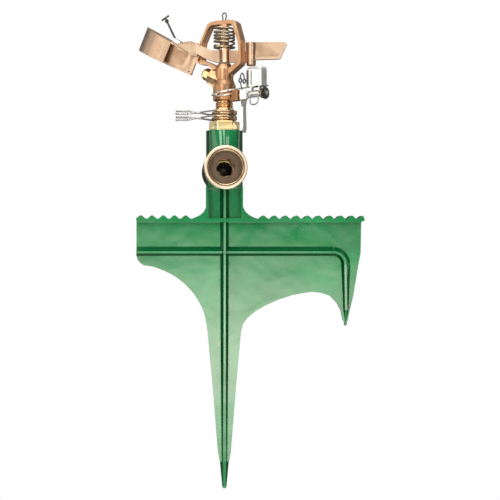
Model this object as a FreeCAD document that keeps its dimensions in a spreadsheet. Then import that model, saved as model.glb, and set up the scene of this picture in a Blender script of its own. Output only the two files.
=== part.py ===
import FreeCAD, Part
import os
import math

# Impact sprinkler on a step-in hose spike.
# Frame: +Z up, the riser axis is Z, Z = 0 is the tread rib of the spike (the
# soil line once the spike is stepped in), -Y is the hose side. Millimetres.
V = FreeCAD.Vector
ROT = FreeCAD.Rotation
PLA = FreeCAD.Placement
doc = FreeCAD.newDocument("impact_sprinkler")

# ----------------------------------------------------------------- dimensions
SHEET = doc.addObject("Spreadsheet::Sheet", "Dims")
DIMS = [
    # spike
    ("socket_radius", 14.25), ("socket_top", 68.5), ("socket_foot", 24.0),
    ("socket_bore", 9.32), ("web_thick", 4.0), ("tread_depth", 17.0),
    ("rib_depth", 14.0), ("spine_depth", 17.0), ("tip_level", -210.2),
    ("tread_left", -68.3), ("tread_right", 109.1), ("tooth_pitch", 8.62),
    ("tooth_height", 2.65), ("rib_top", -20.0), ("rib_base", -29.6), ("crest_drop", 1.2),
    ("hook_centre", 95.3), ("edge_rib", 1.7),
    # flow-through pipe
    ("pipe_level", 38.4), ("pipe_radius", 13.0), ("pipe_half", 16.5),
    ("pipe_bore", 8.0), ("shank_radius", 9.3),
    ("swivel_radius", 16.5), ("swivel_bore", 13.3), ("swivel_front", 33.0),
    ("swivel_back", 18.6), ("tail_radius", 10.2), ("tail_clear", 10.26),
    ("tail_flange", 12.6), ("hex_across", 12.6),
    ("cap_radius", 17.0), ("cap_bore", 13.6), ("outlet_radius", 13.2),
    # bearing
    ("nut_corner", 12.0), ("nut_height", 7.2), ("sleeve_radius", 7.7),
    ("sleeve_top", 87.0), ("stem_radius", 5.5), ("stem_clear", 5.56),
    ("stem_bore", 4.0), ("nut_cavity", 7.9), ("nut_ledge", 71.0),
    # collars
    ("wire_radius", 0.93), ("collar_mid", 9.0), ("collar_bore", 7.78),
    ("collar_low", 78.72), ("collar_high", 82.80), ("tail_reach", 38.0),
    # head
    ("head_yaw", -30.0), ("barrel_radius", 8.85), ("barrel_foot", 91.9),
    ("barrel_top", 103.7), ("column_radius", 7.1), ("column_top", 120.4),
    ("stream_tilt", 25.0), ("stream_level", 108.2), ("jet_level", 106.4), ("boss_radius", 5.6),
    ("boss_reach", 13.4), ("water_bore", 3.0), ("bridge_depth", 8.8),
    ("bridge_top", 154.4), ("leg_thick", 2.6), ("pin_radius", 1.6),
    ("nozzle_corner", 5.0), ("nozzle_len", 6.4), ("nozzle_bore", 2.0), ("nozzle_shank", 3.6),
    # arm
    ("arm_yaw", 24.5), ("arm_low", 122.0), ("arm_high", 131.2),
    ("arm_thick", 3.2), ("hub_radius", 4.1), ("hub_bore", 2.6),
    ("tower_radius", 3.6), ("tower_top", 150.0), ("striker_radius", 4.2),
    ("striker_reach", 21.0), ("flag_thick", 4.4),
    # springs
    ("spring_radius", 7.9), ("spring_wire", 0.75),
    # trip
    ("trip_yaw", -43.0), ("trip_level", 95.2), ("trip_pin", 1.5),
]
for i, (alias, value) in enumerate(DIMS):
    cell = "B%d" % (i + 2)
    SHEET.set("A%d" % (i + 2), alias)
    SHEET.set(cell, str(value))
    SHEET.setAlias(cell, alias)
doc.recompute()


def S(alias):
    return float(SHEET.get(alias))


NODES = {}


def ev(e):
    """Value of an expression written over the sheet's aliases."""
    if isinstance(e, (int, float)):
        return float(e)
    out, word = "", ""
    total = 0.0
    sign = 1.0
    for tok in e.replace("-", " - ").replace("+", " + ").split():
        if tok == "-":
            sign = -1.0
        elif tok == "+":
            sign = 1.0
        else:
            fac = 1.0
            for part in tok.split("*"):
                fac *= S(part) if part[0].isalpha() else float(part)
            total += sign * fac
            sign = 1.0
    return total


def full(e):
    """The same expression with the sheet's name in front of each alias."""
    if isinstance(e, (int, float)):
        return repr(float(e))
    toks = []
    for tok in e.replace("-", " - ").replace("+", " + ").split():
        if tok in "+-":
            toks.append(tok)
        else:
            toks.append(" * ".join("Dims." + p if p[0].isalpha() else p for p in tok.split("*")))
    text = " ".join(toks)
    return "0 " + text if text.startswith("-") else text


def plane(body, role):
    for o in body.Origin.OriginFeatures:
        if o.Role == role:
            return o


def outline(body, name, role, pts):
    """Closed polygon sketch whose corners are driven by the sheet."""
    sk = body.newObject("Sketcher::SketchObject", name)
    sk.AttachmentSupport = (plane(body, role), [""])
    sk.MapMode = "FlatFace"
    val = [V(ev(a), ev(b), 0) for a, b in pts]
    count = len(val)
    for i in range(count):
        sk.addGeometry(Part.LineSegment(val[i], val[(i + 1) % count]))
    import Sketcher
    for i in range(count):
        sk.addConstraint(Sketcher.Constraint("Coincident", i, 2, (i + 1) % count, 1))
    for i in range(count):
        for kind, e, v in (("DistanceX", pts[i][0], val[i].x), ("DistanceY", pts[i][1], val[i].y)):
            if abs(v) < 1e-9:
                continue
            k = sk.addConstraint(Sketcher.Constraint(kind, -1, 1, i, 1, v))
            if not isinstance(e, (int, float)):
                sk.setExpression("Constraints[%d]" % k, full(e))
    return sk


def turned(name, pts, place=None, node=True):
    """Turned piece: (radius, height) profile revolved about the body's Z."""
    body = doc.addObject("PartDesign::Body", name)
    sk = outline(body, name + "_profile", "XZ_Plane", pts)
    rv = body.newObject("PartDesign::Revolution", name + "_turn")
    rv.Profile = sk
    rv.ReferenceAxis = (sk, ["V_Axis"])
    rv.Angle = 360
    body.Tip = rv
    if place is not None:
        body.Placement = place
    if node:
        NODES[name] = body
    body.Label = name
    return body


def coded(name, shape, place=None):
    """Piece whose form is worked out in code from the sheet."""
    o = doc.addObject("Part::Feature", name)
    o.Shape = shape
    if place is not None:
        o.Placement = place
    o.Label = name
    NODES[name] = o
    return o


def prim(kind, name, place=None, **sizes):
    o = doc.addObject("Part::" + kind, name)
    for prop, e in sizes.items():
        if isinstance(e, (int, float)):
            setattr(o, prop, e)
        else:
            o.setExpression(prop, full(e))
    if place is not None:
        o.Placement = place
    return o


def boolean(kind, name, a, b, node=False, place=None):
    o = doc.addObject("Part::" + kind, name)
    if kind == "MultiFuse":
        o.Shapes = a
    else:
        o.Base, o.Tool = a, b
    if place is not None:
        o.Placement = place
    if node:
        NODES[name] = o
        o.Label = name
    return o


def yaw(deg, pos=V(0, 0, 0)):
    return PLA(pos, ROT(V(0, 0, 1), deg))


def poly(pts):
    return Part.makePolygon([V(*p) for p in pts] + [V(*pts[0])])


def slab(pts, y0, y1):
    """Prism of an XZ polygon between two Y levels."""
    w = poly([(p[0], y0, p[1]) for p in pts])
    return Part.Face(w).extrude(V(0, y1 - y0, 0))


def loft(sections):
    return Part.makeLoft([poly(s) for s in sections], True, True)


def cyl(r, z0, z1, x=0.0, y=0.0):
    return Part.makeCylinder(r, z1 - z0, V(x, y, z0))


def tube_path(pts, radius, bend):
    """Round wire along straight runs joined by tangent arcs."""
    pts = [V(*p) for p in pts]
    edges = []
    last = pts[0]
    for i in range(1, len(pts) - 1):
        a, b, c = pts[i - 1], pts[i], pts[i + 1]
        u = (a - b).normalize()
        w = (c - b).normalize()
        ang = u.getAngle(w)
        half = ang / 2.0
        if abs(math.pi - ang) < 1e-3:
            continue
        r = min(bend, 0.45 * min((a - b).Length, (c - b).Length) * math.tan(half))
        cut = r / math.tan(half)
        p0 = b + u * cut
        p1 = b + w * cut
        mid_dir = (u + w).normalize()
        centre = b + mid_dir * (r / math.sin(half))
        pm = centre - mid_dir * r
        edges.append(Part.makeLine(last, p0))
        edges.append(Part.Arc(p0, pm, p1).toShape())
        last = p1
    edges.append(Part.makeLine(last, pts[-1]))
    path = Part.Wire(edges)
    start = (pts[1] - pts[0]).normalize()
    prof = Part.Wire([Part.makeCircle(radius, pts[0], start)])
    sweep = path.makePipeShell([prof], True, True, 2)
    return sweep


def coil(radius, wire, z0, z1, turns, lefthand=False):
    """Round-wire helix standing on Z."""
    pitch = (z1 - z0) / turns
    h = Part.makeHelix(pitch, z1 - z0, radius, 0, lefthand)
    h.translate(V(0, 0, z0))
    prof = Part.Wire([Part.makeCircle(wire, V(radius, 0, z0), V(0, 1, pitch / (2 * math.pi * radius)))])
    return Part.Wire(h).makePipeShell([prof], True, True)


def fuse(shapes):
    out = shapes[0]
    for s in shapes[1:]:
        out = out.fuse(s)
    return out.removeSplitter()


# ------------------------------------------------------------ spike casting
# Enamelled die-cast spike: webbed blade, stiffening ribs, ribbed tread, hook
# that stops the spike turning, and the riser socket with its cross pipe.
half_web = S("web_thick") / 2
left_curve = [(-65.2, -34.4), (-62.6, -36.1), (-59.7, -36.5), (-55.2, -37.2), (-50.8, -38.8),
              (-46.3, -40.6), (-41.8, -42.8), (-37.3, -45.5), (-31.6, -49.9), (-26.9, -54.6),
              (-23.0, -59.3), (-20.2, -64.0), (-17.7, -68.6), (-15.9, -73.3), (-14.7, -78.0),
              (-13.9, -82.7), (-13.2, -87.4), (-8.8, -134.0), (-5.1, -181.0), (-3.7, -189.0)]
right_curve = [(3.7, -189.0), (5.1, -181.0), (8.8, -134.0), (12.6, -91.5), (13.2, -86.6), (14.8, -81.5),
               (18.1, -77.0), (24.6, -71.8), (32.3, -67.3), (42.7, -62.8), (53.0, -59.5), (60.8, -57.9),
               (68.5, -56.9), (76.3, -57.9), (82.8, -60.2), (87.9, -65.4), (91.2, -71.5),
               (92.6, -78.3), (94.8, -82.0), (96.6, -79.6), (98.4, -70.6), (100.9, -60.2),
               (104.8, -36.9), (106.7, -26.5), (107.2, -1.0)]
web = slab([(S("tread_left"), -1.0), (S("tread_left"), -28.3), (-67.4, -31.8)] + left_curve + right_curve,
           -half_web, half_web)

# ribbed tread with rounded teeth, plain in the middle where the column stands
td = S("tread_depth") / 2
pitch, th = S("tooth_pitch"), S("tooth_height")


def teeth(first_peak, count, start, end):
    pts = []
    x = start
    while x <= end + 1e-6:
        ph = math.cos(2 * math.pi * (x - first_peak) / pitch)
        pts.append((x, th * 0.5 * (1 + ph)))
        x += pitch / 12.0
    return pts


left_teeth = teeth(-64.7, 5, S("tread_left") + 0.9, -25.6)
right_teeth = teeth(29.95, 10, 25.6, S("tread_right") - 1.0)
flat_top = 0.35
prof = [(S("tread_left"), -1.6), (S("tread_left"), 0.6)] + left_teeth + [(-24.5, flat_top), (24.5, flat_top)] \
    + right_teeth + [(S("tread_right") - 0.3, 0.5), (S("tread_right"), -0.5), (S("tread_right") - 0.4, -1.5),
                     (107.0, -2.0), (106.2, -2.65), (S("tread_left") + 0.6, -2.65)]
tread = slab(prof, -td, td)

# long ribs: wide at the web, narrow at their crest
rd = S("rib_depth") / 2
rt, rb = S("rib_top"), S("rib_base")


def rib_h(x0, x1, zt, zb, depth, crest):
    zm = (zt + zb) / 2 - S("crest_drop")
    base = [(x0, 0, zt), (x1, 0, zt), (x1, 0, zb), (x0, 0, zb)]
    out = []
    for sgn in (-1, 1):
        top = [(x0, sgn * depth, zm + crest), (x1, sgn * depth, zm + crest),
               (x1, sgn * depth, zm - crest), (x0, sgn * depth, zm - crest)]
        out.append(loft([base, top]))
    return out


hc = S("hook_centre")
cd = S("crest_drop")
ribs = rib_h(S("tread_left"), 84.9, rt, rb, rd, 0.8)
# quarter turn of the rib into the hook
mid_r = hc - 84.9
zmid = (rt + rb) / 2
turn_c = V(84.9, 0, zmid - mid_r)
hw = (rt - rb) / 2
for sgn in (-1, 1):
    face = Part.Face(poly([(84.9, 0, zmid + hw), (84.9, sgn * rd, zmid - cd + 0.8),
                           (84.9, sgn * rd, zmid - cd - 0.8), (84.9, 0, zmid - hw)]))
    ribs.append(face.revolve(turn_c, V(0, 1, 0), 90))
zt0 = zmid - mid_r
for sgn in (-1, 1):
    def sec(z, w, d, c, dx=0.0, lean=0.0):
        return [(hc + dx - w, 0, z), (hc + dx - lean - c, sgn * d, z), (hc + dx - lean + c, sgn * d, z), (hc + dx + w, 0, z)]
    ribs.append(loft([sec(zt0, hw, rd, 0.8, 0.0, cd), sec(-71.0, 3.0, 5.2, 0.8, 0.0, 0.5)]))
    ribs.append(loft([sec(-71.0, 3.0, 5.2, 0.8, 0.0, 0.5), sec(-82.6, 0.95, 1.3, 0.5, -0.4)]))
ribs.append(Part.makeSphere(1.25, V(hc - 0.45, 0, -82.3)))

# spine of the blade, from the socket to the blunt point
sd = S("spine_depth") / 2


def spine(z, w, d, c):
    return [(-w, 0, z), (-c, -d, z), (c, -d, z), (w, 0, z), (c, d, z), (-c, d, z)]


ribs.append(loft([spine(S("socket_foot") + 8, 4.1, sd + 1.0, 0.85), spine(0, 4.1, sd, 0.8)]))
ribs.append(loft([spine(0, 4.1, sd, 0.8), spine(-90, 4.0, sd - 1.6, 0.8), ]))
ribs.append(loft([spine(-90, 4.0, sd - 1.6, 0.8), spine(-189, 3.5, 3.6, 1.2)]))
tip_z = S("tip_level")
ribs.append(loft([spine(-189, 3.5, 3.6, 1.2), spine(tip_z + 1.6, 1.7, 1.6, 0.7)]))
ribs.append(Part.makeSphere(1.62, V(0, 0, tip_z + 1.62)))
# small diamond bosses where the ribs cross
for z in (-0.9, zmid - cd):
    ribs.append(loft([[(-5.3, 0, z), (0, 0, z + 5.3), (5.3, 0, z), (0, 0, z - 5.3)],
                      [(-1.7, -sd - 0.5, z), (0, -sd - 0.5, z + 1.7), (1.7, -sd - 0.5, z), (0, -sd - 0.5, z - 1.7)]]))
    ribs.append(loft([[(-5.3, 0, z), (0, 0, z + 5.3), (5.3, 0, z), (0, 0, z - 5.3)],
                      [(-1.7, sd + 0.5, z), (0, sd + 0.5, z + 1.7), (1.7, sd + 0.5, z), (0, sd + 0.5, z - 1.7)]]))

# riser column: turned socket above, webbed box with edge ribs below
R = S("socket_radius")
sock = cyl(R, S("socket_foot"), S("socket_top"))
foot_web = slab([(-R, -1), (R, -1), (R, S("socket_foot") + 1), (-R, S("socket_foot") + 1)], -half_web, half_web)
er = S("edge_rib")
edge_l = slab([(-R, -1), (-R + er, -1), (-R + er, S("socket_foot") + 1), (-R, S("socket_foot") + 1)], -td + 0.6, td - 0.6)
edge_r = edge_l.mirror(V(0, 0, 0), V(1, 0, 0))
keep = cyl(R, -2, S("socket_foot") + 2)
flare = []
for sgn in (-1, 1):
    fl = [(sgn * (R - 0.4), 11.0), (sgn * (R + 0.35), 8.4), (sgn * (R + 2.1), 5.2), (sgn * (R + 5.0), 2.8),
          (sgn * (R + 8.6), 1.0), (sgn * (R + 11.4), 0.0), (sgn * (R + 11.4), -1.5), (sgn * (R - 1.2), -1.5)]
    flare.append(slab(fl, -td + 0.6, td - 0.6))
pipe = Part.makeCylinder(S("pipe_radius"), 2 * S("pipe_half"), V(0, -S("pipe_half"), S("pipe_level")), V(0, 1, 0))
# parting line of the casting down the socket
seam = fuse([slab([(-0.35, S("socket_foot") + 1), (0.35, S("socket_foot") + 1), (0.35, S("socket_top")), (-0.35, S("socket_top"))], -R - 0.15, R + 0.15)])
spike = fuse([web, tread] + ribs + [sock, foot_web, edge_l, edge_r, pipe, seam] + flare)
bore_v = cyl(S("socket_bore"), 57.0, S("socket_top") + 1).fuse(cyl(S("pipe_bore"), S("pipe_level"), 60.0))
bore_h = Part.makeCylinder(S("pipe_bore"), 2 * S("pipe_half") + 2, V(0, -S("pipe_half") - 1, S("pipe_level")), V(0, 1, 0))
for y0 in (-S("pipe_half") - 1, 7.0):
    bore_h = bore_h.fuse(Part.makeCylinder(S("socket_bore"), S("pipe_half") - 6.0, V(0, y0, S("pipe_level")), V(0, 1, 0)))
spike = spike.cut(bore_v).cut(bore_h)
coded("spike_casting", spike)

# ------------------------------------------------------- hose inlet, outlet
front = PLA(V(0, 0, S("pipe_level")), ROT(V(1, 0, 0), 90))     # body Z points to -Y
back = PLA(V(0, 0, S("pipe_level")), ROT(V(1, 0, 0), -90))     # body Z points to +Y

tail_blank = turned("tailpiece_blank", [
    (5.0, 8.0), ("shank_radius", 8.0), ("shank_radius", "pipe_half"), (11.8, "pipe_half"), (11.8, 18.3),
    ("tail_radius", 18.3), ("tail_radius", 22.3), ("tail_flange", 22.3), ("tail_flange", 24.4), (5.0, 24.4)],
    node=False)
hex_tool = doc.addObject("Part::Prism", "tailpiece_socket")
hex_tool.Polygon = 6
hex_tool.setExpression("Circumradius", "Dims.hex_across / 2 / cos(30)")
hex_tool.Height = 30
hex_tool.Placement = PLA(V(0, 0, 2), ROT(V(0, 0, 1), 8))
lead_in = prim("Cone", "tailpiece_lead", place=PLA(V(0, 0, 23.2), ROT()), Radius1=6.4, Radius2=7.9, Height=1.5)
tail_a = boolean("Cut", "tailpiece_socketed", tail_blank, hex_tool)
boolean("Cut", "hose_tailpiece", tail_a, lead_in, node=True, place=front)

swivel_blank = turned("swivel_blank", [
    ("tail_clear", "swivel_back"), (13.6, "swivel_back"), (14.9, 19.6), (14.9, 21.2), ("swivel_radius", 22.2),
    ("swivel_radius", "swivel_front-0.8"), ("swivel_radius-0.8", "swivel_front"),
    ("swivel_bore+0.7", "swivel_front"), ("swivel_bore", "swivel_front-0.9"), ("swivel_bore", 26.4),
    ("swivel_bore+0.35", 26.4), ("swivel_bore+0.35", 22.0), ("tail_clear", 22.0)], node=False)
flutes = []
for k in range(12):
    f = prim("Cylinder", "swivel_flute_%02d" % k,
             place=PLA(V(18.6 * math.cos(math.radians(30 * k + 15)), 18.6 * math.sin(math.radians(30 * k + 15)), 18.0), ROT()),
             Radius=2.55, Height=13.2)
    flutes.append(f)
flute_set = boolean("MultiFuse", "swivel_flutes", flutes, None)
boolean("Cut", "hose_swivel", swivel_blank, flute_set, node=True, place=front)
turned("inlet_washer", [(6.9, 24.45), (13.2, 24.45), (13.2, 25.9), (12.8, 26.2), (7.3, 26.2), (6.9, 25.8)], place=front)

turned("outlet_nipple", [
    (6.4, 8.0), ("shank_radius", 8.0), ("shank_radius", "pipe_half"), (11.8, "pipe_half"), (11.8, 19.3),
    (11.2, 19.3), (11.2, 20.6), ("outlet_radius", 21.4), ("outlet_radius", 29.6), (12.4, 30.4), (6.4, 30.4)],
    place=back)
turned("outlet_cap", [
    (0.0, 33.0), ("cap_bore", 33.0), ("cap_bore", 20.2), (15.6, 20.2), ("cap_radius", 21.2),
    ("cap_radius", 34.6), (16.0, 35.6), (0.0, 35.6)], place=back)
turned("cap_washer", [(3.0, 30.9), (12.9, 30.9), (12.9, 32.98), (3.0, 32.98)], place=back)

# ------------------------------------------------------------------ bearing
nut_hex = doc.addObject("Part::Prism", "nut_hexagon")
nut_hex.Polygon = 6
nut_hex.setExpression("Circumradius", "Dims.nut_corner")
nut_hex.setExpression("Height", "Dims.nut_height")
nut_hex.Placement = PLA(V(0, 0, S("socket_top")), ROT())
nut_turn = turned("nut_turned", [
    ("stem_clear", 74.0), ("sleeve_radius", 74.0), ("sleeve_radius", "sleeve_top-2.1"),
    ("sleeve_radius-1.5", "sleeve_top"), ("stem_clear", "sleeve_top")], node=False)
nut_shank = turned("nut_shank", [
    ("nut_cavity", 57.5), ("shank_radius", 57.5), ("shank_radius", 69.5), ("nut_cavity", 69.5)], node=False)
nut_bore = turned("nut_bore", [
    (0.0, 50.0), ("nut_cavity", 50.0), ("nut_cavity", "nut_ledge"), ("stem_clear", "nut_ledge"),
    ("stem_clear", 95.0), (0.0, 95.0)], node=False)
nut_all = boolean("MultiFuse", "nut_union", [nut_hex, nut_turn, nut_shank], None)
boolean("Cut", "bearing_nut", nut_all, nut_bore, node=True)

turned("bearing_stem", [
    ("stem_bore", 59.0), (7.2, 59.0), (7.2, 60.8), ("stem_radius", 60.8), ("stem_radius", 101.0), ("stem_bore", 101.0)],
    place=yaw(S("head_yaw")))
turned("seal_washer_lower", [(5.8, 60.85), (7.6, 60.85), (7.6, 62.3), (5.8, 62.3)])
turned("seal_washer_upper", [(5.8, 69.4), (7.6, 69.4), (7.6, 70.95), (5.8, 70.95)])
coded("bearing_spring", coil(6.75, 0.5, 62.85, 68.8, 3.0))

# ------------------------------------------------------- diversion collars
# Each collar is a two-turn spring clamped on the sleeve; its two tails cross
# and end in finger loops.


def collar(mid, upper):
    cm, wr = S("collar_mid"), S("wire_radius")
    rings = [Part.makeTorus(cm, wr, V(0, 0, mid - 0.93)), Part.makeTorus(cm, wr, V(0, 0, mid + 0.93)),
             cyl(cm + 0.3, mid - 1.4, mid + 1.4)]
    w = 0.72
    sgn = 1 if upper else -1
    z_in_a, z_in_b = mid + 0.9, mid - 0.9
    zc = 82.8 if upper else 78.7          # level where the two tails cross
    za, zb = (84.4, 81.7) if upper else (79.6, 77.0)
    tails = []
    for (zi, zo, y0, y1, yo) in ((z_in_a, zb, -2.6, -0.9, -2.9), (z_in_b, za, 2.6, 0.9, 2.9)):
        pts = [(-7.9, y0 * 1.5, zi), (-13.5, y0, zi), (-20.8, y1, zc), (-28.6, yo, zo), (-30.8, yo, zo)]
        tails.append(tube_path(pts, w, 6.0))
        # finger loop: a flattened hairpin at the end of the tail
        lo = tube_path([(-30.5, yo - 1.5, zo), (-37.2, yo - 1.5, zo), (-37.2, yo + 1.5, zo), (-30.5, yo + 1.5, zo)], w, 1.45)
        bar = Part.makeBox(2.6, 4.4, 1.5, V(-31.4, yo - 2.2, zo - 0.75))
        tails += [lo, bar]
    out = rings[0]
    for s in rings[1:] + tails:
        out = out.fuse(s)
    out = out.cut(cyl(S("collar_bore"), mid - 4, mid + 4))
    return out


coded("collar_lower", collar(S("collar_low"), False), yaw(-3))
coded("collar_upper", collar(S("collar_high"), True), yaw(-3))

# --------------------------------------------------------------- body casting
# Bronze body: bored barrel, column, nozzle boss and the bridge that carries
# the fulcrum pin. Drawn with the bridge in the XZ plane, then turned.
HEAD = yaw(S("head_yaw"))
br, cr = S("barrel_radius"), S("column_radius")
tilt = math.radians(S("stream_tilt"))
sdir = V(-math.cos(tilt), 0, math.sin(tilt))
sup = V(math.sin(tilt), 0, math.cos(tilt))
O_S = V(0, 0, S("stream_level"))


O_J = V(0, 0, S("jet_level"))


def on_jet(s, y=0.0, n=0.0):
    """Point on the nozzle's own axis."""
    return O_J + sdir * s + V(0, y, 0) + sup * n


def on_stream(s, y=0.0, n=0.0):
    return O_S + sdir * s + V(0, y, 0) + sup * n


barrel = Part.makeCylinder(br, S("barrel_top") - S("barrel_foot"), V(0, 0, S("barrel_foot")))
barrel = barrel.makeChamfer(0.6, [e for e in barrel.Edges if abs(e.BoundBox.ZMax - S("barrel_foot")) < 0.01 and e.Curve.TypeId.endswith("Circle")])
shoulder = Part.makeCone(br, cr, 4.6, V(0, 0, S("barrel_top")))
column = cyl(cr, S("barrel_top"), S("column_top") - 3.4).fuse(
    Part.makeCone(cr, 5.4, 2.6, V(0, 0, S("column_top") - 3.4))).fuse(
    cyl(5.4, S("column_top") - 0.9, S("column_top")))
boss = Part.makeCylinder(S("boss_radius"), S("boss_reach") - 2.0, on_jet(2.0), sdir)
boss_hex = Part.Face(Part.Wire(Part.makePolygon(
    [on_jet(1.0, 6.8 * math.cos(math.radians(60 * k)), 6.8 * math.sin(math.radians(60 * k))) for k in range(7)]))).extrude(sdir * 11.8)
chin = slab([(-13.0, 106.2), (-8.4, 102.4), (-3.0, 102.4), (-3.0, 110.0), (-10.0, 110.0)], -4.0, 4.0)
bd = S("bridge_depth") / 2
lt = S("leg_thick")
bt = S("bridge_top")
outer = [(-10.2, 153.6), (-12.7, 152.2), (-19.4, 138.5), (-21.0, 128.0), (-21.4, 124.0), (-20.6, 121.6), (-13.0, 120.4), (-8.0, 116.2),
         (-3.2, 117.2), (-8.6, 120.8), (-12.6, 122.7), (-18.2, 125.0), (-18.7, 128.5), (-17.4, 138.2), (-12.0, 149.2), (-9.4, 151.2),
         (7.6, 151.2), (9.2, 149.8), (13.8, 137.0), (14.4, 131.0), (14.4, 124.0), (13.0, 121.2), (2.6, 114.8), (5.0, 111.2), (5.8, 112.0), (15.8, 119.4),
         (16.7, 121.6), (16.5, 128.0), (16.3, 138.0), (12.2, 151.9), (10.2, 153.6), (6.0, bt), (-5.0, bt)]
bridge = slab(outer, -bd, bd)
pin_boss_top = cyl(4.0, 148.6, 151.6)
foot_boss = cyl(4.2, S("column_top") - 0.5, S("column_top") + 0.3)
# lug that carries the trip pivot
lug = Part.makeBox(9.0, 6.4, 8.3, V(7.0, -3.2, 91.2))
lug = lug.makeFillet(1.2, [e for e in lug.Edges if e.BoundBox.XMin > 15.9 and (e.BoundBox.ZLength > 5 or e.BoundBox.YLength > 5)])
lug.rotate(V(0, 0, 0), V(0, 0, 1), S("trip_yaw") - S("head_yaw"))
body = fuse([barrel, shoulder, column, boss, boss_hex, chin, bridge, pin_boss_top, foot_boss, lug])
# waterway: stem bore, chamber and the inclined outlet
water = cyl(S("stem_radius") + 0.01, 80, 101.0).fuse(cyl(4.2, 100.0, 109.5)).fuse(
    Part.makeCylinder(S("nozzle_shank") + 0.02, 30, on_jet(-1.5), sdir))
pin_hole = cyl(S("pin_radius") + 0.01, 112.0, 160.0)
body = body.cut(water).cut(pin_hole)
# pivot hole in the lug
tdir_l = V(math.cos(math.radians(S("trip_yaw") - S("head_yaw"))), math.sin(math.radians(S("trip_yaw") - S("head_yaw"))), 0)
body = body.cut(Part.makeCylinder(S("trip_pin") + 0.01, 12, tdir_l * 9.6 + V(0, 0, S("trip_level")), tdir_l))
coded("body_casting", body, HEAD)

# nozzle: yellow brass hexagon with a tapered bore, screwed into the boss
s0 = S("boss_reach")
nz = Part.Face(Part.Wire(Part.makePolygon(
    [on_jet(s0 + 0.02, S("nozzle_corner") * math.sin(math.radians(60 * k)), S("nozzle_corner") * math.cos(math.radians(60 * k))) for k in range(7)]))).extrude(sdir * (S("nozzle_len") - 1.2))
nz = nz.fuse(Part.makeCone(4.2, 3.6, 1.25, on_jet(s0 + S("nozzle_len") - 1.22), sdir))
nz = nz.fuse(Part.makeCylinder(S("nozzle_shank"), 8.0, on_jet(s0 - 7.9), sdir))
nz = nz.cut(Part.makeCone(3.0, S("nozzle_bore"), 10.0, on_jet(s0 - 8.4), sdir)).cut(
    Part.makeCylinder(S("nozzle_bore"), 20.0, on_jet(s0), sdir)).cut(
    Part.makeCone(S("nozzle_bore"), 2.7, 1.2, on_jet(s0 + S("nozzle_len") - 1.1), sdir))
coded("nozzle", nz.removeSplitter(), HEAD)

# ---------------------------------------------------------------- arm and pin
turned("fulcrum_pin", [(0.0, 112.1), ("pin_radius", 112.1), ("pin_radius", 154.6), (1.3, 154.85), (0.0, 154.85)], place=HEAD)
loop = [(-1.05, 0, 154.95), (-1.45, 0, 157.2), (-1.9, 0, 159.2), (0.0, 0, 161.3), (1.9, 0, 159.2), (1.45, 0, 157.2), (1.05, 0, 154.95)]
cotter = tube_path(loop, 0.5, 1.6)
coded("cotter_pin", cotter, HEAD)

al, ah, at = S("arm_low"), S("arm_high"), S("arm_thick") / 2
AY = S("arm_yaw")
hub = cyl(S("hub_radius"), al - 0.1, ah + 0.1)
tower = cyl(S("tower_radius"), ah, S("tower_top") - 2.4)
collar_low_t = cyl(4.7, ah, ah + 1.9)
bar = slab([(-22.4, 129.3), (-15.2, 125.2), (-11.0, 123.6), (-6.0, al), (15.5, al), (17.8, al + 0.2), (17.8, ah - 0.6), (13.0, ah),
            (-10.0, ah + 0.2), (-22.4, 136.8)], -at, at)
# striker post and the counterweight flag
sr = S("striker_reach")
post = Part.makeCone(S("striker_radius") - 0.55, S("striker_radius"), 18.3, V(sr, 0, 119.3))
post = post.makeFillet(0.9, [e for e in post.Edges if e.Curve.TypeId.endswith("Circle")])
ft = S("flag_thick") / 2
flag = slab([(23.6, 137.4), (47.3, 137.4), (48.7, 135.9), (48.5, 134.8), (43.9, 125.1), (42.9, 124.4), (23.6, 123.9)], -ft, ft)
for sgn in (-1, 1):
    pocket = slab([(28.4, 136.5), (45.4, 136.5), (46.3, 134.6), (42.3, 126.3), (28.4, 126.0)],
                  sgn * (ft - 0.75), sgn * (ft + 1.0))
    flag = flag.cut(pocket)
arm_local = fuse([hub, tower, collar_low_t, bar, post, flag])
arm_local = arm_local.cut(cyl(S("hub_bore"), 110, 160))
arm_local.rotate(V(0, 0, 0), V(0, 0, 1), AY)


# spoon: channel in line with the stream; inner wall, curved outer vane and
# two thin flanges
def vane(pts, thick, n0, n1, n0b=None, n1b=None):
    """Sheet that follows a plan curve (s, y) between two heights."""
    left, right = [], []
    for i, (s, y) in enumerate(pts):
        a = pts[max(i - 1, 0)]
        b = pts[min(i + 1, len(pts) - 1)]
        ds, dy = b[0] - a[0], b[1] - a[1]
        ln = math.hypot(ds, dy)
        nx, ny = -dy / ln * thick / 2, ds / ln * thick / 2
        left.append((s + nx, y + ny))
        right.append((s - nx, y - ny))
    ring = left + right[::-1]
    smax = max(p[0] for p in ring)
    smin = min(p[0] for p in ring)

    def lift(p, bottom):
        f = (p[0] - smin) / (smax - smin)
        lo = n0 + ((n0b if n0b is not None else n0) - n0) * f
        hi = n1 + ((n1b if n1b is not None else n1) - n1) * f
        return on_stream(p[0], p[1], lo if bottom else hi)
    faces = [Part.Face(Part.makePolygon([lift(p, True) for p in ring] + [lift(ring[0], True)])),
             Part.Face(Part.makePolygon([lift(p, False) for p in ring] + [lift(ring[0], False)]))]
    m = len(ring)
    for i in range(m):
        j = (i + 1) % m
        faces.append(Part.Face(Part.makePolygon([lift(ring[i], True), lift(ring[j], True), lift(ring[j], False), lift(ring[i], False), lift(ring[i], True)])))
    return Part.makeSolid(Part.makeShell(faces))


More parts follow.
